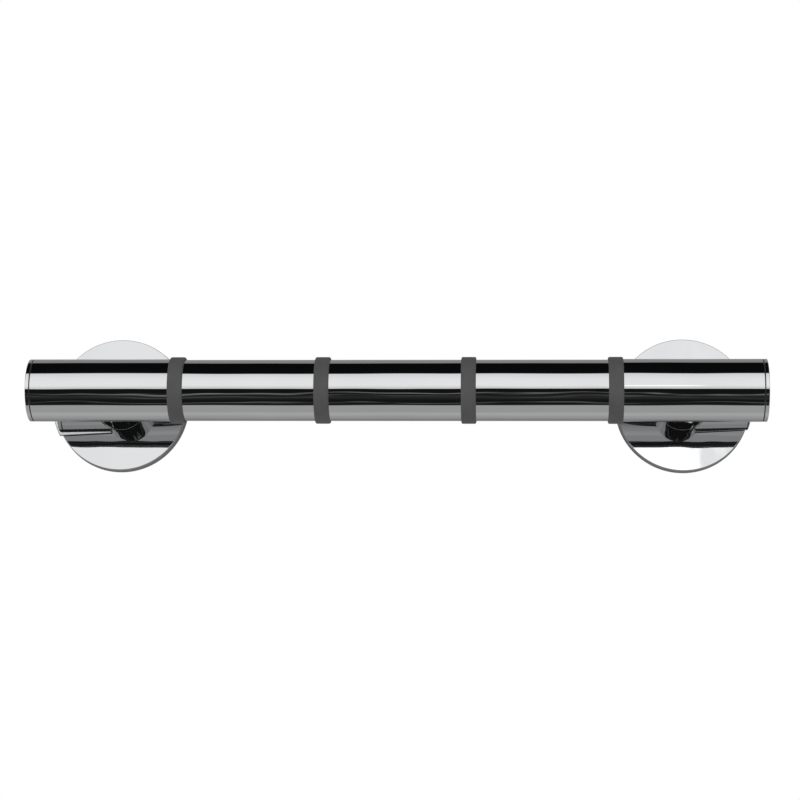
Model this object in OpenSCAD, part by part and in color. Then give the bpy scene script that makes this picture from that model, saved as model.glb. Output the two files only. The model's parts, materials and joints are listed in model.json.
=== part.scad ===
// Suction grab bar with two turn-to-lock suction discs.
// +Z is up, the wall is the plane Y = 0 and the bar stands off it towards -Y, along X.
// The origin lies on the wall, midway between the two discs.
// Everything on a disc's axis is drawn standing up, with z as its height off the wall,
// and is then laid over and moved to its side of the bar.

/* [Bar] */
// Outside diameter of the grab tube
tube_d = 35; // [34:0.5:38]
// Step in radius from the grab tube up to the bar's two end tubes
end_step = 0.35; // [0:0.05:0.8]
// Wall thickness of the grab tube
tube_wall = 1.5; // [1.2:0.1:1.8]
// Overall length of the bar over its end caps
bar_length = 421; // [410:1:600]
// Thickness of each end cap's visible rim
cap_rim = 2.1; // [1.5:0.1:5]
// Thickness of the rubber gasket between each end cap and the tube
gasket_thick = 0.6; // [0.4:0.1:1]
// Distance of the bar's axis from the wall
bar_standoff = 60; // [58.5:0.5:80]

/* [Grip rings] */
// Spacing of the grip rings along the bar
ring_pitch = 83.3; // [60:0.1:90]
// Width of each grip ring
ring_width = 8.5; // [5:0.5:14]
// Height that each grip ring stands above the tube
ring_proud = 1.6; // [1:0.1:2.5]
// Depth of the groove that holds each grip ring
ring_groove = 0.4; // [0.2:0.1:0.6]
// Rounding of each grip ring's edges
ring_round = 0.9; // [0.3:0.1:1]

/* [Suction discs] */
// Distance between the two discs' axes
disc_spacing = 333; // [320:1:350]
// Diameter of the rubber rim around each disc, at its wide back edge
rim_d = 79.2; // [78.8:0.2:82]
// Diameter of each chrome face plate
face_d = 78.4; // [76.8:0.2:78.6]
// Height of the face plate's front off the wall
face_height = 9; // [9:0.1:9.2]
// Thickness of the face plate
face_thick = 0.9; // [0.9:0.1:1]
// Rounding of the face plate's front edge
face_round = 0.4; // [0.2:0.1:0.8]

/* [Turning wings] */
// Width of the wing that turns each disc
wing_width = 34; // [28:1:36]
// Distance from the disc's axis to the wing's outer end
wing_reach = 40.6; // [39.8:0.1:46]
// Height of the wing's crest above the face plate
wing_height = 2.8; // [2:0.1:5]
// Radius of the crown across the wing
wing_crown_r = 180; // [120:5:300]
// Angle of each released wing from level
wing_turn = 3; // [0:1:10]

/* [Posts] */
// Radius of each post at its foot on the disc
post_foot_r = 15; // [15:0.1:15.6]
// Radius of each post where it meets the bar
post_top_r = 16.6; // [16:0.1:16.9]
// Height off the wall at which the post starts to flare
flare_start = 26; // [23:1:30]

/* [Lock] */
// Distance that locking pulls the middle of the cup off the wall
pull_travel = 2.5; // [1.5:0.1:2.5]
// Angle that the disc turns from released to locked
lock_angle = 90; // [90]
// Diameter of the cross pin that rides on the cam
cross_pin_d = 4; // [3:0.5:4]

/* [Hidden] */
$fn = 96;
running_fit = 0.05;
gap = 0.3;
eps = 0.01;

chrome = [0.80, 0.81, 0.83];
steel = [0.62, 0.63, 0.65];
black_nylon = [0.13, 0.13, 0.14];
dark_rubber = [0.22, 0.22, 0.23];
white_ptfe = [0.90, 0.90, 0.88];

// Tube
tube_r = tube_d / 2;
bore_r = tube_r - tube_wall;
end_r = tube_r + end_step;
tube_length = bar_length - 2 * (cap_rim + gasket_thick);
joint_x = 1.5 * ring_pitch;
joint_half = 12;
joint_wall = 2;
ring_out_r = tube_r + ring_proud;
ring_in_r = tube_r - ring_groove;
cap_edge = 0.4;
gasket_sink = 0.15;
plug_length = 12;
plug_r = bore_r - running_fit;
plug_wall = 2.5;

// Rubber cup, measured from the wall outwards
lip_out_r = 37;
lip_in_r = 30;
lip_height = 3;
lip_bevel = 0.8;
membrane_thick = 1.3;
membrane_edge_z = 0.4;
membrane_mid_z = 1.2;
collar_r = 8;
flange_r = 7;
flange_z = 2.4;
flange_thick = 1.2;

// Base housing and its hub, which the turning core runs on
plate_z = 5;
plate_top_z = 6.6;
plate_r = 35.8;
press_ring_in_r = 30.4;
press_ring_out_r = 35.4;
rib_count = 12;
rib_thick = 1.6;
rib_in_r = 18;
rib_z = 4.2;
hub_r = 10;
hub_top_z = 37;
hub_thread_z = 22.5;
stem_r = 6;
flange_recess_z = plate_z + 1.5;

// Cross pin and cam
pin_r = cross_pin_d / 2;
pin_z = 17;
pin_half = 12.3;
slot_clear = 0.3;
cam_out_r = 12.4;
cam_mean_r = (hub_r + cam_out_r) / 2;
cam_swing = pull_travel / (2 * sin(lock_angle / 2));
cam_tilt = atan(cam_swing / cam_mean_r);
cam_lift_clear = 0.45;
cam_mid_z = pin_z - pin_r - cam_lift_clear + pull_travel / 2;

// Stop boss on the housing, in a curved slot of the turning core
stop_r = 24;
stop_boss_r = 1.8;
stop_top_z = 7.7;
stop_start = 30;
stop_half = asin((stop_boss_r + gap) / stop_r);

// Turning core, face plate and rubber rim
web_z = 7.1;
web_top_z = face_height - face_thick;
skirt_z = 3.4;
skirt_in_r = plate_r + 0.4;
skirt_out_r = 37.4;
rim_z = 1.1;
rim_step = 0.1;
rim_bevel = 0.4;
face_hole_r = 13.2;
wing_start = 6;
washer_in_r = hub_r + 0.3;
washer_out_r = 15;
washer_top_z = 7;

// Post
post_foot_z = face_height + 0.2;
post_cavity_r = 12.9;
groove_in_r = 13.4;
groove_out_r = 14.5;
groove_depth = 1;
post_seal_r = 0.5;
bolt_r = 3;
bolt_hole_r = bolt_r + gap;

// Stem, spring and what holds the spring
stem_top_z = 20.5;
boss_r = 3.6;
boss_height = 1.5;
seat_z = 27.5;
seat_top_z = 28.7;
clip_top_z = 29.5;
clip_in_r = 4.9;
clip_groove_r = 6.6;
clip_gap_angle = 50;
spring_r = 4.6;
spring_wire_r = 0.35;
spring_turns = 4;
spring_steps = 20;
spring_sides = 8;

// Bolt that ties the post to the tube nut
bolt_washer_thick = 1.2;
bolt_head_r = 5;
bolt_head_height = 5.8;
bolt_hex_r = 2.9;
bolt_hex_depth = 3;
bolt_tip_z = bar_standoff - 5;
nut_half_length = 13;
nut_front_z = bar_standoff - 6;

// Puts what stands on the wall's axis onto its side of the bar
module on_side(side) {
    translate([side * disc_spacing / 2, 0, 0]) rotate([90, 0, 0]) children();
}

// Lays a solid drawn round the Z axis along the bar, centred at x
module on_bar(x) {
    translate([x, -bar_standoff, 0]) rotate([0, 90, 0]) children();
}

module ring(r_in, r_out, height) {
    difference() {
        cylinder(r = r_out, h = height);
        translate([0, 0, -1]) cylinder(r = r_in, h = height + 2);
    }
}

// A band round the Z axis with its two outer edges rounded
module rounded_band(r_in, r_out, height, edge) {
    rotate_extrude() {
        translate([r_in, 0]) square([r_out - edge - r_in, height]);
        translate([r_in, edge]) square([r_out - r_in, height - 2 * edge]);
        for (z = [edge, height - edge]) translate([r_out - edge, z]) intersection() {
            circle(r = edge);
            translate([0, -edge]) square([edge, 2 * edge]);
        }
    }
}

module o_ring(r, wire_r) {
    rotate_extrude() translate([r, 0]) circle(r = wire_r);
}

// ---- Bar ----

module ring_grooves() {
    for (n = [-1.5 : 1.5]) translate([0, 0, n * ring_pitch - ring_width / 2])
        ring(ring_in_r, tube_r + 1, ring_width);
}

// The middle of the bar, which ends under the two outer grip rings
module grab_tube() {
    color(chrome) on_bar(0) difference() {
        cylinder(r = tube_r, h = 2 * joint_x, center = true);
        cylinder(r = bore_r, h = 2 * joint_x + 2, center = true);
        ring_grooves();
    }
}

// The slightly thicker tube from an outer grip ring to the end of the bar
module end_tube(side) {
    length = tube_length / 2 - joint_x;
    color(chrome) on_bar(0) difference() {
        translate([0, 0, side * (joint_x + length / 2)])
            cylinder(r = end_r, h = length, center = true);
        cylinder(r = bore_r, h = 2 * tube_length, center = true);
        ring_grooves();
        // the side that faces the wall is +Y here, before the tube is laid along the bar
        translate([0, 0, side * disc_spacing / 2])
            rotate([-90, 0, 0]) cylinder(r = bolt_hole_r, h = tube_r + 1);
    }
}

// A sleeve inside the bar that joins an end tube to the grab tube
module tube_joint(side) {
    color(steel) on_bar(side * joint_x) difference() {
        cylinder(r = bore_r - running_fit, h = 2 * joint_half, center = true);
        cylinder(r = bore_r - joint_wall, h = 2 * joint_half + 2, center = true);
    }
}

module grip_ring(n) {
    color(dark_rubber) on_bar((n - 2.5) * ring_pitch)
        translate([0, 0, -ring_width / 2])
            rounded_band(ring_in_r, ring_out_r, ring_width, ring_round);
}

// A disc standing on z = 0 with its top edge rounded
module rounded_disc(r, height, edge) {
    rotate_extrude() {
        square([r - edge, height]);
        square([r, height - edge]);
        translate([r - edge, height - edge]) intersection() {
            circle(r = edge);
            square(edge);
        }
    }
}

// Turns +Z to point out of the tube's end
module on_bar_end(side) {
    on_bar(side * tube_length / 2) rotate([side < 0 ? 180 : 0, 0, 0]) children();
}

// A rounded cap with a hollow plug that is pushed into the tube
module end_cap(side) {
    color(chrome) on_bar_end(side) difference() {
        union() {
            translate([0, 0, gasket_thick]) rounded_disc(end_r, cap_rim, cap_edge);
            translate([0, 0, -plug_length])
                cylinder(r = plug_r, h = plug_length + gasket_thick + eps);
        }
        translate([0, 0, -plug_length - 1])
            cylinder(r = plug_r - plug_wall, h = plug_length);
    }
}

// A flat gasket, which shows as a fine dark line round the end of the bar
module cap_seal(side) {
    color(dark_rubber) on_bar_end(side) ring(plug_r, end_r - gasket_sink, gasket_thick);
}

// ---- Posts ----

function flare_r(z) =
    let (t = (z - flare_start) / (bar_standoff - flare_start))
    post_foot_r + (post_top_r - post_foot_r) * t * t;

module post(side) {
    flare = [for (i = [1 : 12]) flare_start + (bar_standoff - flare_start) * i / 12];
    color(chrome) on_side(side) difference() {
        union() {
            translate([0, 0, post_foot_z])
                cylinder(r = post_foot_r, h = flare_start - post_foot_z);
            rotate_extrude() polygon(concat(
                [[0, flare_start], [post_foot_r, flare_start]],
                [for (z = flare) [flare_r(z), z]],
                [[0, bar_standoff]]
            ));
        }
        translate([0, 0, bar_standoff]) rotate([0, 90, 0])
            cylinder(r = end_r, h = 3 * end_r, center = true);
        cylinder(r = post_cavity_r, h = hub_thread_z);
        cylinder(r = hub_r, h = hub_top_z);
        cylinder(r = bolt_hole_r, h = bar_standoff);
        translate([0, 0, post_foot_z - 1]) ring(groove_in_r, groove_out_r, groove_depth + 1);
    }
}

module post_seal(side) {
    color(dark_rubber) on_side(side)
        translate([0, 0, post_foot_z + groove_depth - post_seal_r])
            o_ring((groove_in_r + groove_out_r) / 2, post_seal_r);
}

module post_bolt(side) {
    head_top = hub_top_z - bolt_washer_thick;
    color(steel) on_side(side) difference() {
        union() {
            translate([0, 0, head_top - bolt_head_height])
                cylinder(r = bolt_head_r, h = bolt_head_height);
            translate([0, 0, head_top - eps]) cylinder(r = bolt_r, h = bolt_tip_z - head_top);
        }
        translate([0, 0, head_top - bolt_head_height - 1])
            cylinder(r = bolt_hex_r, h = bolt_hex_depth + 1, $fn = 6);
    }
}

module bolt_washer(side) {
    color(steel) on_side(side) translate([0, 0, hub_top_z - bolt_washer_thick])
        ring(bolt_r + gap, stem_r - gap, bolt_washer_thick);
}

// A threaded saddle inside the tube, drawn with a plain bore for its thread
module tube_nut(side) {
    color(steel) on_side(side) difference() {
        intersection() {
            translate([0, 0, bar_standoff]) rotate([0, 90, 0])
                cylinder(r = bore_r, h = 2 * nut_half_length, center = true);
            translate([-nut_half_length, -bore_r, bar_standoff - bore_r - 1])
                cube([2 * nut_half_length, 2 * bore_r, nut_front_z - bar_standoff + bore_r + 1]);
        }
        cylinder(r = bolt_r, h = bar_standoff);
    }
}

// ---- Base housing, fixed to the post ----

module base_housing(side) {
    color(black_nylon) on_side(side) difference() {
        union() {
            translate([0, 0, plate_z]) cylinder(r = plate_r, h = plate_top_z - plate_z);
            translate([0, 0, lip_height])
                ring(press_ring_in_r, press_ring_out_r, plate_z - lip_height + eps);
            for (n = [0 : rib_count - 1]) rotate([0, 0, n * 360 / rib_count])
                translate([rib_in_r, -rib_thick / 2, rib_z])
                    cube([press_ring_in_r - rib_in_r + 1, rib_thick, plate_z - rib_z + eps]);
            translate([0, 0, plate_z]) cylinder(r = hub_r - running_fit, h = hub_top_z - plate_z);
            translate([0, 0, hub_thread_z]) cylinder(r = hub_r, h = hub_top_z - hub_thread_z);
            stop_boss();
        }
        translate([0, 0, plate_z - 1]) cylinder(r = flange_r + 0.6, h = flange_recess_z - plate_z + 1);
        cylinder(r = stem_r, h = hub_top_z + 1);
        pin_slot();
        translate([0, 0, seat_top_z])
            cylinder(r = clip_groove_r, h = clip_top_z - seat_top_z);
    }
}

module stop_boss() {
    rotate([0, 0, stop_start]) translate([stop_r, 0, plate_z])
        cylinder(r = stop_boss_r, h = stop_top_z - plate_z);
}

// Lets the cross pin rise with the stem and keeps it from turning
module pin_slot() {
    r = pin_r + slot_clear;
    for (z = [pin_z, pin_z + pull_travel]) translate([0, 0, z]) rotate([0, 90, 0])
        cylinder(r = r, h = 4 * hub_r, center = true);
    translate([-2 * hub_r, -r, pin_z]) cube([4 * hub_r, 2 * r, pull_travel]);
}

module thrust_washer(side) {
    color(white_ptfe) on_side(side) translate([0, 0, plate_top_z])
        ring(washer_in_r, washer_out_r, washer_top_z - plate_top_z);
}

module spring_seat(side) {
    color(steel) on_side(side) translate([0, 0, seat_z])
        cylinder(r = stem_r - 0.1, h = seat_top_z - seat_z);
}

module retaining_clip(side) {
    color(steel) on_side(side) translate([0, 0, seat_top_z])
        rotate([0, 0, clip_gap_angle / 2]) rotate_extrude(angle = 360 - clip_gap_angle)
            translate([clip_in_r, 0])
                square([clip_groove_r - clip_in_r, clip_top_z - seat_top_z]);
}

// One ring of the spring's wire, at step i of the helix
function spring_ring(i, z_low, z_high) =
    let (
        turn = 360 * i / spring_steps,
        z = z_low + (z_high - z_low) * i / (spring_turns * spring_steps)
    )
    [for (k = [0 : spring_sides - 1])
        let (
            a = 360 * k / spring_sides,
            r = spring_r + spring_wire_r * cos(a)
        )
        [r * cos(turn), r * sin(turn), z + spring_wire_r * sin(a)]];

module return_spring(side) {
    z_low = stem_top_z + spring_wire_r + running_fit;
    z_high = seat_z - spring_wire_r - running_fit;
    rings = spring_turns * spring_steps;
    points = [for (i = [0 : rings]) each spring_ring(i, z_low, z_high)];
    sides = [for (i = [0 : rings - 1], k = [0 : spring_sides - 1])
        let (
            next = (k + 1) % spring_sides,
            a = i * spring_sides,
            b = a + spring_sides
        )
        [a + k, a + next, b + next, b + k]];
    ends = [
        [for (k = [spring_sides - 1 : -1 : 0]) k],
        [for (k = [0 : spring_sides - 1]) rings * spring_sides + k]
    ];
    color(steel) on_side(side) polyhedron(points, concat(sides, ends), convexity = 8);
}

// ---- Suction cup, drawn as a lip that stays and a membrane that flexes ----

module cup_lip(side) {
    color(dark_rubber) on_side(side) rotate_extrude() polygon([
        [lip_in_r, membrane_edge_z],
        [lip_in_r + 1.5, 0],
        [lip_out_r - lip_bevel, 0],
        [lip_out_r, lip_bevel],
        [lip_out_r - 0.6, lip_height],
        [lip_in_r, lip_height]
    ]);
}

module cup_membrane(side) {
    color(dark_rubber) on_side(side) rotate_extrude() polygon([
        [0, membrane_mid_z],
        [collar_r, membrane_mid_z],
        [lip_in_r, membrane_edge_z],
        [lip_in_r, membrane_edge_z + membrane_thick],
        [collar_r, flange_z],
        [collar_r, flange_z + flange_thick],
        [flange_r, flange_z + flange_thick],
        [flange_r, flange_z],
        [0, flange_z]
    ]);
}

module cup_stem(side) {
    color(steel) on_side(side) difference() {
        union() {
            translate([0, 0, flange_z]) cylinder(r = flange_r, h = flange_thick);
            translate([0, 0, flange_z])
                cylinder(r = stem_r - running_fit, h = stem_top_z - flange_z);
            translate([0, 0, flange_z])
                cylinder(r = boss_r, h = stem_top_z + boss_height - flange_z);
        }
        translate([0, 0, pin_z]) rotate([0, 90, 0])
            cylinder(r = pin_r, h = 4 * stem_r, center = true);
    }
}

module cross_pin(side) {
    color(steel) on_side(side) translate([0, 0, pin_z]) rotate([0, 90, 0])
        cylinder(r = pin_r, h = 2 * pin_half, center = true);
}

// ---- Turning disc ----

// Half of the space above the cam: a slab whose underside is the sloping ramp
module above_ramp() {
    rotate([0, 0, lock_angle / 2]) translate([-eps, 0, cam_mid_z]) rotate([cam_tilt, 0, 0])
        translate([0, -2 * hub_r, 0]) cube([2 * hub_r, 4 * hub_r, 2 * hub_r]);
}

// Two ramps, half a turn apart, each nearly a helix over the quarter turn in use
module cam_sleeve() {
    difference() {
        translate([0, 0, web_z]) cylinder(r = cam_out_r, h = cam_mid_z + 4 - web_z);
        for (half = [0, 180]) rotate([0, 0, half]) above_ramp();
    }
}

module turn_core(side) {
    color(black_nylon) on_side(side) difference() {
        union() {
            translate([0, 0, web_z]) cylinder(r = skirt_out_r, h = web_top_z - web_z);
            translate([0, 0, skirt_z]) ring(skirt_in_r, skirt_out_r, web_top_z - skirt_z);
            cam_sleeve();
        }
        translate([0, 0, web_z - 1]) cylinder(r = hub_r, h = 2 * hub_r);
        stop_slot();
    }
}

module stop_slot() {
    rotate([0, 0, stop_start - stop_half]) translate([0, 0, web_z - 1])
        rotate_extrude(angle = lock_angle + 2 * stop_half)
            translate([stop_r - stop_boss_r - gap, 0])
                square([2 * (stop_boss_r + gap), web_top_z - web_z + 2]);
}

module face_plate(side) {
    color(chrome) on_side(side) difference() {
        translate([0, 0, web_top_z]) rounded_disc(face_d / 2, face_thick, face_round);
        cylinder(r = face_hole_r, h = 2 * face_height);
    }
}

// The rim widens towards the wall, so the fingers can pull against it
module grip_rim(side) {
    color(dark_rubber) on_side(side) rotate_extrude() polygon([
        [skirt_out_r, rim_z],
        [rim_d / 2 - rim_bevel, rim_z],
        [rim_d / 2, rim_z + rim_bevel],
        [face_d / 2 - rim_step, web_top_z],
        [skirt_out_r, web_top_z]
    ]);
}

// A crowned wing on the disc's outer side, cut out round the post's foot
module turn_wing(side) {
    crest = face_height + wing_height;
    color(chrome) on_side(side) rotate([0, 0, wing_turn + (side < 0 ? 180 : 0)]) difference() {
        intersection() {
            translate([wing_start, -wing_width / 2, face_height])
                cube([wing_reach, wing_width, wing_height + 1]);
            translate([0, 0, face_height]) cylinder(r = wing_reach, h = wing_height + 1);
            translate([0, 0, crest - wing_crown_r]) rotate([0, 90, 0])
                cylinder(r = wing_crown_r, h = 2 * wing_reach, $fn = 720);
        }
        cylinder(r = post_foot_r + gap, h = 2 * crest);
    }
}

grab_tube();
end_tube(-1);  // left_end_tube
end_tube(1);  // right_end_tube
tube_joint(-1);  // left_tube_joint
tube_joint(1);  // right_tube_joint
end_cap(-1);  // left_end_cap
end_cap(1);  // right_end_cap
cap_seal(-1);  // left_cap_seal
cap_seal(1);  // right_cap_seal
grip_ring(1);  // grip_ring_1
grip_ring(2);  // grip_ring_2
grip_ring(3);  // grip_ring_3
grip_ring(4);  // grip_ring_4

post(-1);  // left_post
post_seal(-1);  // left_post_seal
post_bolt(-1);  // left_post_bolt
bolt_washer(-1);  // left_bolt_washer
tube_nut(-1);  // left_tube_nut
base_housing(-1);  // left_base_housing
thrust_washer(-1);  // left_thrust_washer
spring_seat(-1);  // left_spring_seat
retaining_clip(-1);  // left_retaining_clip
return_spring(-1);  // left_return_spring
cup_lip(-1);  // left_cup_lip
cup_membrane(-1);  // left_cup_membrane
cup_stem(-1);  // left_cup_stem
cross_pin(-1);  // left_cross_pin
turn_core(-1);  // left_turn_core
face_plate(-1);  // left_face_plate
grip_rim(-1);  // left_grip_rim
turn_wing(-1);  // left_turn_wing

post(1);  // right_post
post_seal(1);  // right_post_seal
post_bolt(1);  // right_post_bolt
bolt_washer(1);  // right_bolt_washer
tube_nut(1);  // right_tube_nut
base_housing(1);  // right_base_housing
thrust_washer(1);  // right_thrust_washer
spring_seat(1);  // right_spring_seat
retaining_clip(1);  // right_retaining_clip
return_spring(1);  // right_return_spring
cup_lip(1);  // right_cup_lip
cup_membrane(1);  // right_cup_membrane
cup_stem(1);  // right_cup_stem
cross_pin(1);  // right_cross_pin
turn_core(1);  // right_turn_core
face_plate(1);  // right_face_plate
grip_rim(1);  // right_grip_rim
turn_wing(1);  // right_turn_wing
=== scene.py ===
"""Looks for the suction grab bar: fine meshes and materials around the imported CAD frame.

The row frame is +X along the bar, +Z up, and the wall at y = 0 with the bar towards -Y.
Outlines are drawn in millimetres as (radius, height) and turned round an axis: the bar's
own axis, or a disc's axis, where height counts outwards from the wall.
"""

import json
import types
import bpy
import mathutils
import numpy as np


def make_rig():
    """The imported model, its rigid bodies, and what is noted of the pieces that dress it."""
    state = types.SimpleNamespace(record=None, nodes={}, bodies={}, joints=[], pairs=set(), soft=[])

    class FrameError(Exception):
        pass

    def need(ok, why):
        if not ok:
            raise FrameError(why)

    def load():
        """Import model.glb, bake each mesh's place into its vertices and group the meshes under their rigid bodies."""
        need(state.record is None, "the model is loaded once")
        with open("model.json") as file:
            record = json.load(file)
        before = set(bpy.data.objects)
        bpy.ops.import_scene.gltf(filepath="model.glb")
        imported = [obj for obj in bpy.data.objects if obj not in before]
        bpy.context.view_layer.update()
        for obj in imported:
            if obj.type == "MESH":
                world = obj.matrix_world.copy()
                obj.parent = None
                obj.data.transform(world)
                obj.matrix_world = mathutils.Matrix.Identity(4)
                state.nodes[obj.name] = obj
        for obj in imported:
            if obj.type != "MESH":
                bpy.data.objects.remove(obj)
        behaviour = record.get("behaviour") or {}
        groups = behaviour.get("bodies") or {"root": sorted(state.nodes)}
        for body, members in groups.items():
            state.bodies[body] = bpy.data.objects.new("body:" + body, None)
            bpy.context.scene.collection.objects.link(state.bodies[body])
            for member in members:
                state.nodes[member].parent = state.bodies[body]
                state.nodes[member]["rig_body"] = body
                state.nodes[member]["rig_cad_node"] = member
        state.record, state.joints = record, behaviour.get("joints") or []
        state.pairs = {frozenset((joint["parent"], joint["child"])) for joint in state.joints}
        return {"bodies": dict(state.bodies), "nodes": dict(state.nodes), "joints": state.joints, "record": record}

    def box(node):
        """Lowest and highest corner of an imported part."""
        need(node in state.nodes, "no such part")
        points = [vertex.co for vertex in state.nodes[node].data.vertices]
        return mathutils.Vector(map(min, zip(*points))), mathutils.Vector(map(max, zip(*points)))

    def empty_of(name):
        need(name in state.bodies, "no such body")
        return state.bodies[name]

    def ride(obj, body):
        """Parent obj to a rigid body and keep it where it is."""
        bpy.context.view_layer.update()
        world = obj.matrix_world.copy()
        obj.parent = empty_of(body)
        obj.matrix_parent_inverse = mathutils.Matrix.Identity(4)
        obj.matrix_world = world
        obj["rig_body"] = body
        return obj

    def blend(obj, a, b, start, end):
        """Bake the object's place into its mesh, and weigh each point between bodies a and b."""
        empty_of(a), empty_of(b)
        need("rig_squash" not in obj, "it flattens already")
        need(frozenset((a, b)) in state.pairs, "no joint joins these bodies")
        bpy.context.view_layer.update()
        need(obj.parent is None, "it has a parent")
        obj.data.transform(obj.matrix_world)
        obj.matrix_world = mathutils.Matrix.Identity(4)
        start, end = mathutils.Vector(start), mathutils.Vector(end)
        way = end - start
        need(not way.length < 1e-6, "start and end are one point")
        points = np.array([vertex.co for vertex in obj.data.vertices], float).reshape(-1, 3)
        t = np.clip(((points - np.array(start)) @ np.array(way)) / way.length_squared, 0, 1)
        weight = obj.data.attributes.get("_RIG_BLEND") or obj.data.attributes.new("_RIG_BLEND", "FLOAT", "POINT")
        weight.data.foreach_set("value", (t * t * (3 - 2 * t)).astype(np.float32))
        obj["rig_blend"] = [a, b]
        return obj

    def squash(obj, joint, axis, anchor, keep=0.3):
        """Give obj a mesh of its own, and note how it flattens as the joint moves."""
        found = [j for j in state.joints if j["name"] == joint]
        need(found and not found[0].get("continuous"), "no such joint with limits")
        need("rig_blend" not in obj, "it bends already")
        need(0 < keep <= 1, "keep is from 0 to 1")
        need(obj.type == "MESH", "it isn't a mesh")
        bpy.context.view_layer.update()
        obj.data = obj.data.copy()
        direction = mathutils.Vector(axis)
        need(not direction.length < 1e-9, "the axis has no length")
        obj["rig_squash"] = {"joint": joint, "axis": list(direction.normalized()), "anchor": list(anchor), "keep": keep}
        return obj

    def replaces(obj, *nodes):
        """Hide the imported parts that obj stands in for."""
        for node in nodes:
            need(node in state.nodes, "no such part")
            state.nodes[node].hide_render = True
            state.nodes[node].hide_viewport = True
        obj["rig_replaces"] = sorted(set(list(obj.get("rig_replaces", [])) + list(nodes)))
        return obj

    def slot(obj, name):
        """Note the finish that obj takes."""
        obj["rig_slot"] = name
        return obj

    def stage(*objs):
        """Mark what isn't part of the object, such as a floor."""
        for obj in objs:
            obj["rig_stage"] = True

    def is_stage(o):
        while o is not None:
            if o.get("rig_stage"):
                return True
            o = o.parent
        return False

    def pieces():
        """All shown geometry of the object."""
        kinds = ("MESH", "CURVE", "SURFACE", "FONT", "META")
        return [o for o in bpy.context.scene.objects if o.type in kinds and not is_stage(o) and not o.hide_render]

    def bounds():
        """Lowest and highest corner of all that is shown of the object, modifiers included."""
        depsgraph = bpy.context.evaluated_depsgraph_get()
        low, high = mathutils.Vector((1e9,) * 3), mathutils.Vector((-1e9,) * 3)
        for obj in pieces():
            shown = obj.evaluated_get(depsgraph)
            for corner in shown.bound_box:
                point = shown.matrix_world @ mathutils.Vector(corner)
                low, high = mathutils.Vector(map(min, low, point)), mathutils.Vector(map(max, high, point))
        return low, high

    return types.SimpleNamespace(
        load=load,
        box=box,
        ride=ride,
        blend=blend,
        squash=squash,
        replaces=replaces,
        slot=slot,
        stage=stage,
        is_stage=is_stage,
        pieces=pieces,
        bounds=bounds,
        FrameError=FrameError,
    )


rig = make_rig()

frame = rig.load()

import json
import math

import bmesh
import bpy
from mathutils import Matrix, Vector

CAD_BOX = [list(corner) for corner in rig.bounds()]

MM = 0.001
SIDES = ("left", "right")


# ---------------------------------------------------------------- sizes from the frame


def box_mm(node):
    low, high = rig.box(node)
    return low / MM, high / MM


tube_low, tube_high = box_mm("grab_tube")
TUBE_R = (tube_high.z - tube_low.z) / 2
TUBE_WALL = 1.5
BORE_R = TUBE_R - TUBE_WALL
BAR_U = -(tube_low.y + tube_high.y) / 2  # the bar's axis off the wall
JOINT_X = tube_high.x  # where the middle tube meets the end tubes
end_tube_low, end_tube_high = box_mm("right_end_tube")
END_R = (end_tube_high.z - end_tube_low.z) / 2
TUBE_END = end_tube_high.x
BAR_END = box_mm("right_end_cap")[1].x
EDGE = 0.12  # the small rounding on cut tube ends

rings = [box_mm(f"grip_ring_{n}") for n in range(1, 5)]
MOULD_LINE = 0.02  # how far each ring's mould line stands up
RING_R = (rings[0][1].z - rings[0][0].z) / 2 - MOULD_LINE
GROOVE_R = TUBE_R - 0.4  # the grooves that hold the rings
RING_ROUND = 0.9

DISC_X = {side: sum(c.x for c in box_mm(f"{side}_face_plate")) / 2 for side in SIDES}
LIFT = 2.5  # how far locking lifts each cup's stem
CUP_INNER_R = 30.0  # where each cup's lip and membrane meet

# Corners round a full turn: fine where a long outline shows, plainer elsewhere
FINE_SEGMENTS = 256
PLAIN_SEGMENTS = 192


# ---------------------------------------------------------------- mesh helpers


def filleted(corners, steps=6, support=0.12):
    """A closed outline from (radius, height, fillet) corners.

    Fillets become arcs, and every straight gets a point just inside each end, so that
    smooth shading stays true right up to the edges.
    """
    outline = []
    for i, (x, y, fillet) in enumerate(corners):
        corner = Vector((x, y))
        if fillet <= 0:
            outline.append(corner)
            continue
        before = (Vector(corners[i - 1][:2]) - corner).normalized()
        after = (Vector(corners[(i + 1) % len(corners)][:2]) - corner).normalized()
        half = before.angle(after) / 2
        centre = corner + (before + after).normalized() * (fillet / math.sin(half))
        start = corner + before * (fillet / math.tan(half)) - centre
        end = corner + after * (fillet / math.tan(half)) - centre
        sweep = start.angle_signed(end)
        for k in range(steps + 1):
            turn = Matrix.Rotation(-sweep * k / steps, 2)
            outline.append(centre + turn @ start)
    dense = []
    for i, point in enumerate(outline):
        following = outline[(i + 1) % len(outline)]
        dense.append(point)
        length = (following - point).length
        if length > 4 * support:
            dense.append(point.lerp(following, support / length))
            dense.append(point.lerp(following, 1 - support / length))
    return dense


def round_bar(radius, angle, height):
    """A point round the bar's own axis, in metres."""
    return Vector((height, -BAR_U - radius * math.cos(angle), radius * math.sin(angle))) * MM


def round_disc(side):
    """Places points round one disc's axis, in metres."""
    centre = DISC_X[side]

    def place(radius, angle, height):
        x = centre + radius * math.cos(angle)
        return Vector((x, -height, radius * math.sin(angle))) * MM

    return place


def mesh_piece(name, vertices, faces, material, sharp=40):
    mesh = bpy.data.meshes.new(name)
    mesh.from_pydata(vertices, [], faces)
    mesh.validate()
    mesh.update()
    mesh.polygons.foreach_set("use_smooth", [True] * len(mesh.polygons))
    mesh.set_sharp_from_angle(angle=math.radians(sharp))
    mesh.materials.append(material)
    piece = bpy.data.objects.new(name, mesh)
    bpy.context.scene.collection.objects.link(piece)
    return piece


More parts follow.
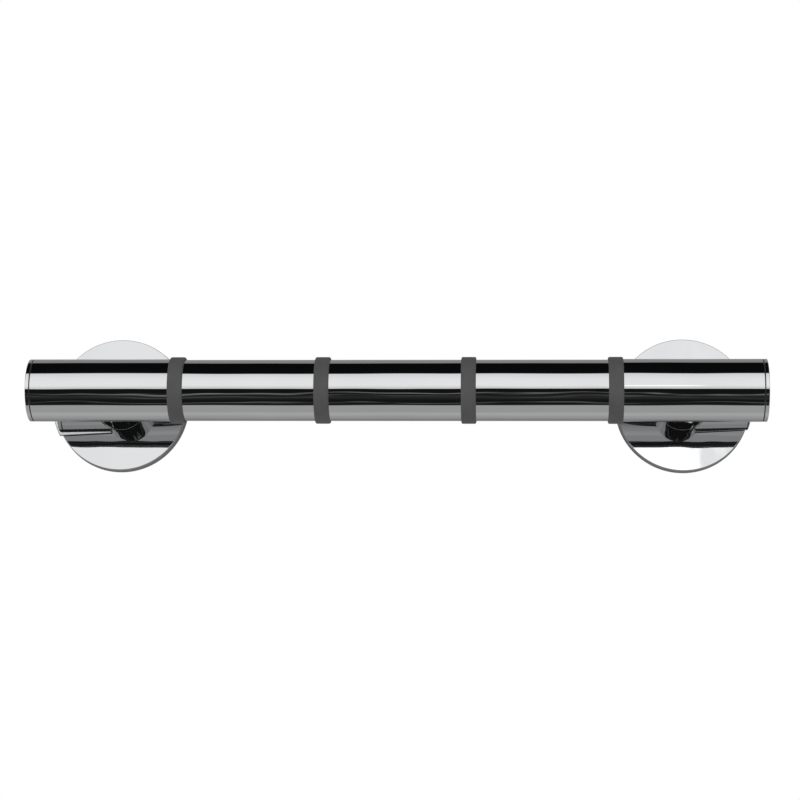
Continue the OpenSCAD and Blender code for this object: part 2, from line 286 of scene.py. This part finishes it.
def lathe(name, outline, place, material, segments=PLAIN_SEGMENTS):
    """Turns a closed outline round an axis. Points on the axis become single poles."""
    vertices, rows = [], []
    for radius, height in outline:
        if radius < 1e-6:
            rows.append([len(vertices)] * segments)
            vertices.append(place(0, 0, height))
            continue
        rows.append(range(len(vertices), len(vertices) + segments))
        vertices += [
            place(radius, math.tau * k / segments, height) for k in range(segments)
        ]
    faces = []
    for i, row in enumerate(rows):
        following = rows[(i + 1) % len(rows)]
        if row[0] == row[1] and following[0] == following[1]:
            continue
        for k in range(segments):
            n = (k + 1) % segments
            corners = [row[k], row[n], following[n], following[k]]
            faces.append(list(dict.fromkeys(corners)))
    piece = mesh_piece(name, vertices, faces, material)
    return outward(piece)


def outward(piece):
    """Turns every face of a closed mesh outwards."""
    bm = bmesh.new()
    bm.from_mesh(piece.data)
    bmesh.ops.recalc_face_normals(bm, faces=bm.faces)
    bm.to_mesh(piece.data)
    bm.free()
    return piece


def finish_piece(piece, body, slot, *nodes):
    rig.replaces(piece, *nodes)
    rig.slot(piece, slot)
    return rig.ride(piece, body)


# ---------------------------------------------------------------- material helpers


class Nodes:
    """A material being built: its tree, its shader and the few node patterns used here."""

    def __init__(self, name):
        self.material = bpy.data.materials.new(name)
        self.material.use_nodes = True
        self.tree = self.material.node_tree
        self.shader = self.tree.nodes["Principled BSDF"]
        self.place = self.tree.nodes.new("ShaderNodeTexCoord").outputs["Object"]

    def link(self, source, target):
        self.tree.links.new(source, target)

    def stretched(self, scale):
        """Object coordinates scaled along each axis."""
        node = self.tree.nodes.new("ShaderNodeMapping")
        node.inputs["Scale"].default_value = scale
        self.link(self.place, node.inputs["Vector"])
        return node.outputs["Vector"]

    def noise(self, scale, detail=2.0, rough=0.5, vector=None):
        """Noise from 0 to 1, scale in features per metre."""
        node = self.tree.nodes.new("ShaderNodeTexNoise")
        node.inputs["Scale"].default_value = scale
        node.inputs["Detail"].default_value = detail
        node.inputs["Roughness"].default_value = rough
        self.link(vector or self.place, node.inputs["Vector"])
        return node.outputs["Fac"]

    def ramp(self, source, *stops):
        """A colour ramp through (position, colour or grey) stops."""
        node = self.tree.nodes.new("ShaderNodeValToRGB")
        elements = node.color_ramp.elements
        while len(elements) < len(stops):
            elements.new(1.0)
        for element, (position, colour) in zip(elements, stops):
            grey = isinstance(colour, (int, float))
            element.position = position
            element.color = (*((colour,) * 3 if grey else colour), 1.0)
        self.link(source, node.inputs["Fac"])
        return node.outputs["Color"]

    def math(self, operation, a, b):
        node = self.tree.nodes.new("ShaderNodeMath")
        node.operation = operation
        for socket, value in zip(node.inputs, (a, b)):
            if isinstance(value, (int, float)):
                socket.default_value = value
            else:
                self.link(value, socket)
        return node.outputs["Value"]

    def bump(self, height, metres, normal=None):
        """Bumps the surface by a height map whose full range is that many metres."""
        node = self.tree.nodes.new("ShaderNodeBump")
        node.inputs["Distance"].default_value = metres
        self.link(height, node.inputs["Height"])
        if normal is not None:
            self.link(normal, node.inputs["Normal"])
        return node.outputs["Normal"]

    def set(self, **values):
        for name, value in values.items():
            socket = self.shader.inputs[name.replace("_", " ")]
            if isinstance(value, (int, float, tuple)):
                socket.default_value = value
            else:
                self.link(value, socket)


def chrome(name, tint, wave, wave_height, grain):
    """Mirror plating: faint clouding, hairline polish marks and a slight waviness.

    Waves come per metre and as high as given; the grain is how far hairlines stretch.
    """
    m = Nodes(name)
    cloud = m.noise(35, 3)
    hairs = m.noise(900, 3, 0.6, m.stretched(grain))
    m.set(
        Metallic=1.0,
        Base_Color=m.ramp(cloud, (0.3, tuple(c * 0.97 for c in tint)), (0.7, tint)),
        Roughness=m.ramp(hairs, (0.35, 0.018), (0.8, 0.045)),
        Normal=m.bump(m.noise(wave, 0.0), wave_height),
    )
    return m.material


def rubber(name, dark, light, rough, grain_height):
    """Matt moulded rubber: fine grain, faint bloom and slightly uneven gloss."""
    m = Nodes(name)
    bloom = m.noise(90, 4)
    grain = m.noise(5200, 3, 0.7)
    skin = m.noise(1100, 2)
    m.set(
        Base_Color=m.ramp(bloom, (0.3, dark), (0.75, light)),
        Roughness=m.ramp(skin, (0.3, rough - 0.08), (0.7, rough + 0.06)),
        Specular_IOR_Level=0.35,
        Sheen_Weight=0.06,
        Sheen_Roughness=0.5,
        Normal=m.bump(skin, grain_height, m.bump(grain, grain_height)),
    )
    return m.material


def turned_steel():
    """Bright turned steel with fine tool marks."""
    m = Nodes("turned_steel")
    cloud = m.noise(120, 3)
    marks = m.noise(2600, 2, 0.5, m.stretched((1, 4, 1)))
    m.set(
        Metallic=1.0,
        Base_Color=m.ramp(cloud, (0.3, (0.55, 0.56, 0.58)), (0.7, (0.66, 0.67, 0.69))),
        Roughness=m.ramp(marks, (0.3, 0.22), (0.7, 0.38)),
        Normal=m.bump(marks, 4e-6),
    )
    return m.material


def moulded(name, dark, light, rough):
    """Moulded engineering plastic with a fine spark-eroded grain."""
    m = Nodes(name)
    grain = m.noise(3200, 3, 0.6)
    m.set(
        Base_Color=m.ramp(m.noise(60, 3), (0.3, dark), (0.7, light)),
        Roughness=m.ramp(grain, (0.3, rough - 0.06), (0.7, rough + 0.06)),
        Normal=m.bump(grain, 1.2e-5),
    )
    return m.material


CHROME_TINT = (0.655, 0.66, 0.668)
CHROME_TUBE = chrome("chrome_tube", CHROME_TINT, 14, 2.0e-5, (0.02, 1, 1))
CHROME_TRIM = chrome("chrome_trim", CHROME_TINT, 30, 1.0e-5, (1, 0.05, 1))
CHROME_FACE = chrome("chrome_face", CHROME_TINT, 80, 8e-5, (1, 1, 1))
GRIP_RUBBER = rubber("grip_rubber", (0.068, 0.068, 0.068), (0.082, 0.082, 0.082), 0.72, 9e-6)
RIM_RUBBER = rubber("rim_rubber", (0.130, 0.130, 0.131), (0.150, 0.150, 0.151), 0.68, 6e-6)
CUP_RUBBER = rubber("cup_rubber", (0.020, 0.020, 0.021), (0.028, 0.028, 0.029), 0.42, 5e-6)
# The seal ring between each end cap and its tube: a real seal whose near-black colour is also painted shade for the
# shadow in that seam.
SEAM_SHADE_SEAL_RUBBER = rubber("seal_rubber", (0.014, 0.014, 0.014), (0.020, 0.020, 0.020), 0.5, 4e-6)
STEEL = turned_steel()
NYLON = moulded("black_nylon", (0.022, 0.022, 0.024), (0.030, 0.030, 0.032), 0.5)
PTFE = moulded("white_ptfe", (0.82, 0.82, 0.80), (0.88, 0.88, 0.86), 0.4)


# ---------------------------------------------------------------- pieces


def middle_tube():
    """The plated middle of the bar, which ends under the two outer rings."""
    corners = [(BORE_R, -JOINT_X, 0), (GROOVE_R, -JOINT_X, 0)]
    corners += [(GROOVE_R, rings[0][1].x, 0), (TUBE_R, rings[0][1].x, 0)]
    for low, high in rings[1:3]:
        corners += [
            (TUBE_R, low.x, 0),
            (GROOVE_R, low.x, 0),
            (GROOVE_R, high.x, 0),
            (TUBE_R, high.x, 0),
        ]
    corners += [(TUBE_R, rings[3][0].x, 0), (GROOVE_R, rings[3][0].x, 0)]
    corners += [(GROOVE_R, JOINT_X, 0), (BORE_R, JOINT_X, 0)]
    piece = lathe("plated_tube", filleted(corners), round_bar, CHROME_TUBE, FINE_SEGMENTS)
    finish_piece(piece, "bar", "chrome_tube", "grab_tube")


def end_tube(side):
    """The slightly thicker tube at one end, from its ring groove to a softly broken edge."""
    corners = [
        (BORE_R, JOINT_X, 0),
        (GROOVE_R, JOINT_X, 0),
        (GROOVE_R, rings[3][1].x, 0),
        (END_R, rings[3][1].x, 0),
        (END_R, TUBE_END, EDGE),
        (BORE_R, TUBE_END, 0),
    ]
    sign = 1 if side == "right" else -1
    outline = [(r, sign * x) for r, x in filleted(corners)]
    piece = lathe(f"{side}_plated_end", outline, round_bar, CHROME_TUBE, FINE_SEGMENTS)
    finish_piece(piece, "bar", "chrome_tube", f"{side}_end_tube")


def end_cap(side):
    """A flat plated cap with softened edges and a hollow plug."""
    low, high = box_mm(f"{side}_end_cap")
    seal_low, seal_high = box_mm(f"{side}_cap_seal")
    sign = 1 if side == "right" else -1
    length = high.x - low.x
    tube_depth = BAR_END - TUBE_END
    rim = tube_depth - (seal_high.x - seal_low.x)
    sliding_fit, plug_wall, floor_thick, soft_edge = 0.05, 2.5, 1, 0.4
    plug_r = BORE_R - sliding_fit
    hollow_r = plug_r - plug_wall
    hollow = tube_depth + floor_thick
    depths = [
        (0, 0, 0),
        (END_R, 0, soft_edge),
        (END_R, rim, EDGE),
        (plug_r, rim, 0),
        (plug_r, length, soft_edge),
        (hollow_r, length, 0),
        (hollow_r, hollow, 0),
        (0, hollow, 0),
    ]
    outline = [(r, sign * (BAR_END - depth)) for r, depth in filleted(depths)]
    piece = lathe(f"{side}_cap", outline, round_bar, CHROME_TRIM, FINE_SEGMENTS)
    finish_piece(piece, "bar", "chrome_trim", f"{side}_end_cap")


def grip_ring(number, low, high):
    """A soft band in its groove, with rounded shoulders and a faint mould line."""
    middle = (low.x + high.x) / 2
    line_half = 0.18
    corners = [
        (GROOVE_R, low.x, 0),
        (RING_R, low.x, RING_ROUND),
        (RING_R, middle - line_half, 0),
        (RING_R + MOULD_LINE, middle, 0),
        (RING_R, middle + line_half, 0),
        (RING_R, high.x, RING_ROUND),
        (GROOVE_R, high.x, 0),
    ]
    piece = lathe(f"grip_band_{number}", filleted(corners), round_bar, GRIP_RUBBER)
    finish_piece(piece, "bar", "grip_rubber", f"grip_ring_{number}")


def flare_radius(height, foot_r, start, top_r):
    """The post's outer radius: straight from its foot, then flaring to the bar."""
    share = max(0.0, (height - start) / (BAR_U - start))
    return foot_r + (top_r - foot_r) * share * share


def post(side):
    """A post whose top is cut to the tube, hollow from below for the lock."""
    foot_r, top_r, flare_start = 15.0, 16.6, 26.0
    cavity_r, cavity_top = 12.9, 22.5
    hub_r, hub_top = 10.0, 37.0
    cavity_round, foot_round, sink = 0.15, 0.35, 0.15
    foot = -box_mm(f"{side}_post")[1].y
    bottom = foot + 2  # where the rows of points up the post's wall start
    segments, rows = PLAIN_SEGMENTS, 40
    settling_rounds = 12
    rings_over_top = (0.98, 0.9, 0.75, 0.5, 0.25)  # as shares of the wall's radius there
    place = round_disc(side)

    def top_height(angle):
        """Where the flared wall meets the bar, settled round by round."""
        height = BAR_U - END_R
        for _ in range(settling_rounds):
            across = flare_radius(height, foot_r, flare_start, top_r) * math.sin(angle)
            height = BAR_U - math.sqrt((END_R - sink) ** 2 - across**2)
        return height

    def column(angle):
        """Points up the outside of the post at one angle, then in to its middle."""
        low = filleted(
            [
                (0, hub_top, 0),
                (hub_r, hub_top, 0),
                (hub_r, cavity_top, 0),
                (cavity_r, cavity_top, 0),
                (cavity_r, foot, cavity_round),
                (foot_r, foot, foot_round),
                (foot_r, bottom, 0),
            ]
        )
        low = low[: low.index(Vector((foot_r, bottom))) + 1]
        top = top_height(angle)
        wall = []
        for k in range(1, rows + 1):
            height = bottom + (top - bottom) * k / rows
            wall.append((flare_radius(height, foot_r, flare_start, top_r), height))
        rim = wall[-1][0]
        over = []
        for share in rings_over_top:
            across = rim * share * math.sin(angle)
            over.append((rim * share, BAR_U - math.sqrt((END_R - sink) ** 2 - across**2)))
        return [*low, *wall, *over, (0, BAR_U - END_R + sink)]

    columns = [column(math.tau * k / segments) for k in range(segments)]
    count = len(columns[0])
    vertices = [place(0, 0, columns[0][0][1])]
    for row in range(1, count - 1):
        for k, points in enumerate(columns):
            vertices.append(place(points[row][0], math.tau * k / segments, points[row][1]))
    vertices.append(place(0, 0, columns[0][-1][1]))
    faces = []
    for k in range(segments):
        n = (k + 1) % segments
        faces.append([0, 1 + n, 1 + k])
        for row in range(count - 3):
            base = 1 + row * segments
            faces.append([base + k, base + n, base + segments + n, base + segments + k])
        base = 1 + (count - 3) * segments
        faces.append([base + k, base + n, len(vertices) - 1])
    piece = outward(mesh_piece(f"{side}_flared_post", vertices, faces, CHROME_TRIM))
    finish_piece(piece, "bar", "chrome_trim", f"{side}_post")


def face_plate(side):
    """The mirror face of a disc: flat, with a rolled front edge."""
    low, high = box_mm(f"{side}_face_plate")
    outer = (high.x - low.x) / 2
    back, front = -high.y, -low.y
    hole_r, rolled_edge, segments = 13.2, 0.4, 320
    corners = [
        (hole_r, back, 0),
        (outer, back, 0.05),
        (outer, front, rolled_edge),
        (hole_r, front, 0.2),
    ]
    outline = filleted(corners, 8)
    piece = lathe(f"{side}_mirror_face", outline, round_disc(side), CHROME_FACE, segments)
    finish_piece(piece, f"{side}_dial", "chrome_face", f"{side}_face_plate")


def turn_wing(side):
    """The crowned wing on a disc's outer side, with softly broken top edges."""
    node = f"{side}_turn_wing"
    low, high = box_mm(node)
    reach = max(abs(low.x - DISC_X[side]), abs(high.x - DISC_X[side]))
    base, crest = -high.y, -low.y
    start, eye_r, half_width, crown_r = 6.0, 15.3, 16.97, 180.0
    broken, support = 0.3, 0.12  # the edges' rounding, and how close a ring of corners backs it
    edge_parts, across_parts, along_parts = 5, 40, 8
    off_level = math.radians(3)
    lead = off_level + (math.pi if side == "left" else 0)
    place = round_disc(side)

    def spread(length, parts):
        """Distances over a length, close together where the edges are broken."""
        quarter = [math.pi / 2 * k / edge_parts for k in range(edge_parts + 1)]
        near = [broken * (1 - math.cos(angle)) for angle in quarter]
        near.append(broken + support)
        inner = length - 2 * near[-1]
        middle = [near[-1] + inner * k / parts for k in range(1, parts)]
        return near + middle + [length - d for d in reversed(near)]

    def short_of(distance, length):
        """How far inside the broken edge's own arc a point lies, from 0 to its radius."""
        return max(0.0, broken - min(distance, length - distance))

    vertices, rows = [], []
    for side_step in spread(2 * half_width, across_parts):
        across = side_step - half_width
        inner = max(start, math.sqrt(max(0.0, eye_r**2 - across**2)))
        length = math.sqrt(reach**2 - across**2) - inner
        row = []
        for step in spread(length, along_parts):
            off = math.hypot(short_of(side_step, 2 * half_width), short_of(step, length))
            drop = broken - math.sqrt(broken**2 - min(off, broken) ** 2)
            height = crest - crown_r + math.sqrt(crown_r**2 - across**2) - drop
            row.append(len(vertices))
            vertices.append((inner + step, across, height))
        rows.append(row)
    faces = []
    for row, following in zip(rows, rows[1:]):
        for a, b, c, d in zip(row, row[1:], following[1:], following):
            faces.append([a, b, c, d])
    loop = [*rows[0], *(row[-1] for row in rows[1:-1]), *reversed(rows[-1])]
    loop += [row[0] for row in reversed(rows[1:-1])]
    just_under_edge = None
    for level in (just_under_edge, base + support, base):
        lower = range(len(vertices), len(vertices) + len(loop))
        for index in loop:
            x, y, height = vertices[index]
            vertices.append((x, y, height - support if level is just_under_edge else level))
        for k, index in enumerate(loop):
            n = (k + 1) % len(loop)
            faces.append([index, loop[n], lower[n], lower[k]])
        loop = list(lower)
    faces.append(loop)
    placed = [place(math.hypot(x, y), math.atan2(y, x) + lead, h) for x, y, h in vertices]
    piece = outward(mesh_piece(f"{side}_wing", placed, faces, CHROME_TRIM))
    finish_piece(piece, f"{side}_dial", "chrome_trim", node)


def grip_rim(side):
    """The dark rim that the hand turns."""
    low, high = box_mm(f"{side}_grip_rim")
    face_low, face_high = box_mm(f"{side}_face_plate")
    outer = (high.x - low.x) / 2
    front_r = (face_high.x - face_low.x) / 2 - 0.1
    inner = 37.4  # the turning core's skirt, which the rim is moulded round
    back, front = -high.y, -low.y
    corners = [
        (inner, back, 0),
        (outer, back, 0.35),
        (front_r, front, 0.15),
        (inner, front, 0),
    ]
    outline = filleted(corners)
    piece = lathe(f"{side}_soft_rim", outline, round_disc(side), RIM_RUBBER, FINE_SEGMENTS)
    finish_piece(piece, f"{side}_dial", "rim_rubber", f"{side}_grip_rim")


def cup_lip(side):
    """The lip that seals on the wall, with fine sealing grooves in its flat ring."""
    low, high = box_mm(f"{side}_cup_lip")
    outer = (high.x - low.x) / 2
    inner = CUP_INNER_R
    top = -low.y
    grooves, first_groove, groove_pitch = 4, 2.6, 1.2
    groove_half, groove_deep, groove_edge = 0.2, 0.25, 0.05
    corners = [(inner, top, 0), (inner, 0.4, 0), (inner + 1.5, 0, 0.3)]
    for groove in range(grooves):
        start = inner + first_groove + groove_pitch * groove
        corners += [
            (start, 0, groove_edge),
            (start + groove_half, groove_deep, 0),
            (start + 2 * groove_half, 0, groove_edge),
        ]
    corners += [(outer - 0.8, 0, 0.4), (outer, 0.8, 0.5), (outer - 0.6, top, 0.1)]
    outline, place = filleted(corners, 4), round_disc(side)
    piece = lathe(f"{side}_sealing_lip", outline, place, CUP_RUBBER, FINE_SEGMENTS)
    finish_piece(piece, "bar", "cup_rubber", f"{side}_cup_lip")


def membrane(side):
    """The flexing middle of the cup: ridged on its underside, with a moulded centre."""
    inner = CUP_INNER_R
    boss_r, socket_r = 8.0, 7.0
    boss_low, boss_seat, boss_top = 1.2, 2.4, 3.6
    edge_low, edge_high = 0.4, 1.7
    ridge_half, ridge_deep, ridge_round = 0.5, 0.22, 0.2
    corners = [(0, 0.9, 0), (2.2, 0.9, 0.3), (2.6, 1.25, 0.2), (boss_r, boss_low, 0.5)]
    for ridge in (12.0, 17.0, 22.0, 27.0):
        height = boss_low + (edge_low - boss_low) * (ridge - boss_r) / (inner - boss_r)
        corners += [
            (ridge - ridge_half, height, ridge_round),
            (ridge, height - ridge_deep, ridge_round),
            (ridge + ridge_half, height, ridge_round),
        ]
    corners += [
        (inner, edge_low, 0),
        (inner, edge_high, 0),
        (boss_r, boss_seat, 0.5),
        (boss_r, boss_top, 0.2),
        (socket_r, boss_top, 0),
        (socket_r, boss_seat, 0),
        (0, boss_seat, 0),
    ]
    piece = lathe(f"{side}_membrane", filleted(corners, 4), round_disc(side), CUP_RUBBER)
    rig.replaces(piece, f"{side}_cup_membrane")
    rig.slot(piece, "cup_rubber")
    axis = DISC_X[side] * MM
    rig.blend(piece, "bar", f"{side}_cup", start=(axis, -0.0004, 0), end=(axis, -0.0012, 0))


def return_spring(side):
    """A coil between the stem's shoulder and its seat, which locking squeezes."""
    node = f"{side}_return_spring"
    low, high = box_mm(node)
    top, bottom = -low.y, -high.y
    wire_r, coil_r, turns = 0.35, 4.6, 4
    steps, sides = 48, 12
    rows = turns * steps
    place = round_disc(side)
    vertices = []
    for i in range(rows + 1):
        turn = math.tau * i / steps
        height = bottom + wire_r + (top - bottom - 2 * wire_r) * i / rows
        for k in range(sides):
            out = wire_r * math.cos(math.tau * k / sides)
            over = wire_r * math.sin(math.tau * k / sides)
            vertices.append(place(coil_r + out, turn, height + over))
    faces = [list(range(sides)), list(range(rows * sides, (rows + 1) * sides))]
    for base in range(0, rows * sides, sides):
        for k in range(sides):
            n = (k + 1) % sides
            faces.append([base + k, base + n, base + sides + n, base + sides + k])
    piece = outward(mesh_piece(f"{side}_coil", vertices, faces, STEEL))
    finish_piece(piece, "bar", "steel", node)
    squeezed = (top - bottom - LIFT) / (top - bottom)
    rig.squash(piece, f"{side}_cup_pull", (0, 1, 0), place(0, 0, top), squeezed)


def paint_inner_nodes():
    """The CAD nodes that stay: each takes the material of its slot."""
    by_slot = {
        "steel": STEEL,
        "black_nylon": NYLON,
        "white_ptfe": PTFE,
        # the seal ring's near-black rubber, which is also painted shade in the seam between cap and tube
        "seal_rubber": SEAM_SHADE_SEAL_RUBBER,
    }
    slot_of = {s["node"]: s["material_slot"] for s in frame["record"]["subparts"]}
    for name, node in frame["nodes"].items():
        material = by_slot.get(slot_of[name])
        if material is not None:
            node.data.materials.clear()
            node.data.materials.append(material)


middle_tube()
for number, (low, high) in enumerate(rings, 1):
    grip_ring(number, low, high)
for side in SIDES:
    end_tube(side)
    end_cap(side)
    post(side)
    face_plate(side)
    turn_wing(side)
    grip_rim(side)
    cup_lip(side)
    membrane(side)
    return_spring(side)
paint_inner_nodes()


# ---------------------------------------------------------------- camera


def camera():
    """Stands a little right of the bar's middle and below it, looking slightly up."""
    distance, azimuth, elevation = 1.359, 3.0, -9.65
    yaw, pitch = math.radians(2.9), math.radians(9.42)
    a, e = math.radians(azimuth), math.radians(elevation)
    back = Vector((math.sin(a) * math.cos(e), -math.cos(a) * math.cos(e), math.sin(e)))
    forward = Vector(
        (-math.sin(yaw) * math.cos(pitch), math.cos(yaw) * math.cos(pitch), math.sin(pitch))
    )
    along = Vector((1, 0, 0))
    right = (along - forward * along.dot(forward)).normalized()
    up = right.cross(forward)
    data = bpy.data.cameras.new("photo_camera")
    data.lens = 107.05
    data.sensor_width = 36
    data.clip_end = 20
    seen = bpy.data.objects.new("photo_camera", data)
    turn = Matrix((right, up, -forward)).transposed().to_4x4()
    seen.matrix_world = Matrix.Translation(Vector((0, -BAR_U * MM, 0)) + back * distance) @ turn
    bpy.context.scene.collection.objects.link(seen)
    bpy.context.scene.camera = seen


# ---------------------------------------------------------------- studio


# What the chrome sees round the X axis: (degrees above the horizon in front, brightness).
STUDIO_BANDS = (
    (-180, 0.28),
    (-150, 0.29),
    (-138, 0.41),
    (-124, 0.46),
    (-113, 0.54),
    (-104, 0.54),
    (-97, 0.455),
    (-68, 0.455),
    (-66.5, 0.013),
    (-46, 0.010),
    (-36, 0.030),
    (-25, 0.012),
    (-4.2, 0.007),
    (-2.8, 0.86),
    (3, 0.97),
    (7, 1.15),
    (20, 1.16),
    (36, 1.12),
    (46, 1.03),
    (55, 0.97),
    (56.4, 0.005),
    (113, 0.004),
    (115, 0.30),
    (150, 0.33),
    (180, 0.28),
)

# Thin glints of the dark room in front, which wander along the bar.
STUDIO_GLINTS = (
    (-66, 0.0),
    (-58.5, 0.0),
    (-56, 0.11),
    (-53.5, 0.0),
    (-37, 0.0),
    (-34.5, 0.065),
    (-32, 0.0),
    (-26, 0.0),
    (-23, 0.27),
    (-20, 0.0),
)

# A brighter patch low in the softbox, by angle as above and by how far it lies to the right.
PATCH_ANGLES = ((5.5, 0.0), (6.5, 0.5), (9.3, 0.5), (9.9, 0.0))
PATCH_ACROSS = ((0.035, 0.0), (0.045, 1.0), (0.0745, 1.0), (0.0785, 0.0))

# How far to each side the room's edges wander and its glints show, as a direction's X.
ROOM_HALF = 0.3


def studio_world():
    """A band of softbox in front, a dark ceiling, and grey card below and behind.

    Only the object sees the bands: the camera sees plain white. Their edges aren't quite
    straight, as a real room's aren't.
    """
    world = bpy.data.worlds.new("studio")
    world.use_nodes = True
    tree = world.node_tree
    tree.nodes.clear()

    def add(kind, *sources, **values):
        """A node with its first inputs linked to sources or set to numbers."""
        node = tree.nodes.new(kind)
        for name, value in values.items():
            setattr(node, name, value)
        for socket, source in zip(node.inputs, sources):
            if isinstance(source, (int, float)):
                socket.default_value = source
            else:
                tree.links.new(source, socket)
        return node.outputs[0]

    def maths(operation, *sources):
        return add("ShaderNodeMath", *sources, operation=operation)

    def ramp(source, stops, span):
        """A grey ramp over stops, for a source that runs from 0 to 1 over the span."""
        colour = tree.nodes.new("ShaderNodeValToRGB")
        elements = colour.color_ramp.elements
        while len(elements) < len(stops):
            elements.new(1.0)
        for element, (at, grey) in zip(elements, stops):
            element.position = at / span + 0.5
            element.color = (grey, grey, grey, 1)
        tree.links.new(source, colour.inputs["Fac"])
        return colour.outputs["Color"]

    direction = tree.nodes.new("ShaderNodeTexCoord").outputs["Generated"]
    axes = tree.nodes.new("ShaderNodeSeparateXYZ")
    tree.links.new(direction, axes.inputs["Vector"])
    to_right, towards_wall, height = axes.outputs
    angle = maths("ARCTAN2", height, maths("MULTIPLY", towards_wall, -1))
    turn = maths("MULTIPLY_ADD", angle, 1 / math.tau, 0.5)
    near_middle = maths("MAXIMUM", maths("MINIMUM", to_right, ROOM_HALF), -ROOM_HALF)
    off_middle = maths("ABSOLUTE", to_right)

    def noise(across, around):
        """Noise about zero, with that many features across and around the view."""
        place = add(
            "ShaderNodeCombineXYZ",
            maths("MULTIPLY", near_middle, across),
            maths("MULTIPLY", towards_wall, around),
            maths("MULTIPLY", height, around),
        )
        pattern = tree.nodes.new("ShaderNodeTexNoise")
        pattern.inputs["Scale"].default_value = 1
        pattern.inputs["Detail"].default_value = 1
        tree.links.new(place, pattern.inputs["Vector"])
        return maths("SUBTRACT", pattern.outputs["Fac"], 0.5)

    def light(colour, strength=1.0):
        return add("ShaderNodeBackground", colour, strength)

    wander = noise(24, 1.5)
    band_wander, glint_wander = 0.02, 0.10
    bands = ramp(maths("MULTIPLY_ADD", wander, band_wander, turn), STUDIO_BANDS, 360)
    glints = ramp(maths("MULTIPLY_ADD", wander, glint_wander, turn), STUDIO_GLINTS, 360)
    fade_depth, fade_mean = 4.0, 0.85
    faded = maths("MULTIPLY_ADD", noise(33, 9), fade_depth, fade_mean)
    fading = maths("MAXIMUM", faded, 0.0)
    in_front = maths("LESS_THAN", off_middle, ROOM_HALF)
    across = maths("ADD", to_right, 0.5)
    patch = ramp(turn, PATCH_ANGLES, 360)
    patch_strength = ramp(across, PATCH_ACROSS, 1)

    glint_strength = maths("MULTIPLY", fading, in_front)
    dim = add("ShaderNodeAddShader", light(bands), light(glints, glint_strength))
    room = add("ShaderNodeAddShader", dim, light(patch, patch_strength))
    white = tree.nodes.new("ShaderNodeBackground")
    white.inputs["Color"].default_value = (1, 1, 1, 1)
    seen = tree.nodes.new("ShaderNodeLightPath").outputs["Is Camera Ray"]
    mixed = add("ShaderNodeMixShader", seen, room, white.outputs["Background"])
    out = tree.nodes.new("ShaderNodeOutputWorld")
    tree.links.new(mixed, out.inputs["Surface"])
    bpy.context.scene.world = world


def soft_light(name, location, size, watts):
    """An area light that lights the matt pieces but isn't seen in the chrome."""
    data = bpy.data.lights.new(name, "AREA")
    data.shape = "RECTANGLE"
    data.size, data.size_y = size
    data.energy = watts
    lamp = bpy.data.objects.new(name, data)
    lamp.location = location
    lamp.rotation_mode = "QUATERNION"
    middle_of_bar = Vector((0, -0.06, 0))
    aim = middle_of_bar - Vector(location)
    lamp.rotation_quaternion = aim.to_track_quat("-Z", "Y")
    lamp.visible_glossy = False
    bpy.context.scene.collection.objects.link(lamp)


def pale_floor():
    """A plain pale floor as far below the bar as a real one, which the chrome doesn't mirror."""
    m = Nodes("pale_floor")
    m.set(
        Base_Color=m.ramp(m.noise(3, 4), (0.3, 0.86), (0.7, 0.90)),
        Roughness=0.8,
        Emission_Color=(0.9, 0.9, 0.9, 1),
        Emission_Strength=0.45,
    )
    half, level = 40, -1.4  # metres
    around = ((-half, -half), (half, -half), (half, half), (-half, half))
    corners = [(x, y, level) for x, y in around]
    floor = mesh_piece("pale_floor", corners, [(0, 1, 2, 3)], m.material)
    floor.visible_glossy = False
    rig.stage(floor)


camera()
studio_world()
soft_light("key", (-0.3, -1.4, 1.1), (1.2, 0.9), 9)
soft_light("fill", (0.4, 1.4, 0.6), (1.2, 0.9), 5)
pale_floor()

scene = bpy.context.scene
scene.view_settings.view_transform = "Standard"
scene.cycles.use_denoising = True
scene.cycles.max_bounces = 16
scene.cycles.glossy_bounces = 12

with open("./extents.json", "w") as sizes:
    json.dump({"cad": CAD_BOX, "visual": [list(corner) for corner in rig.bounds()]}, sizes)
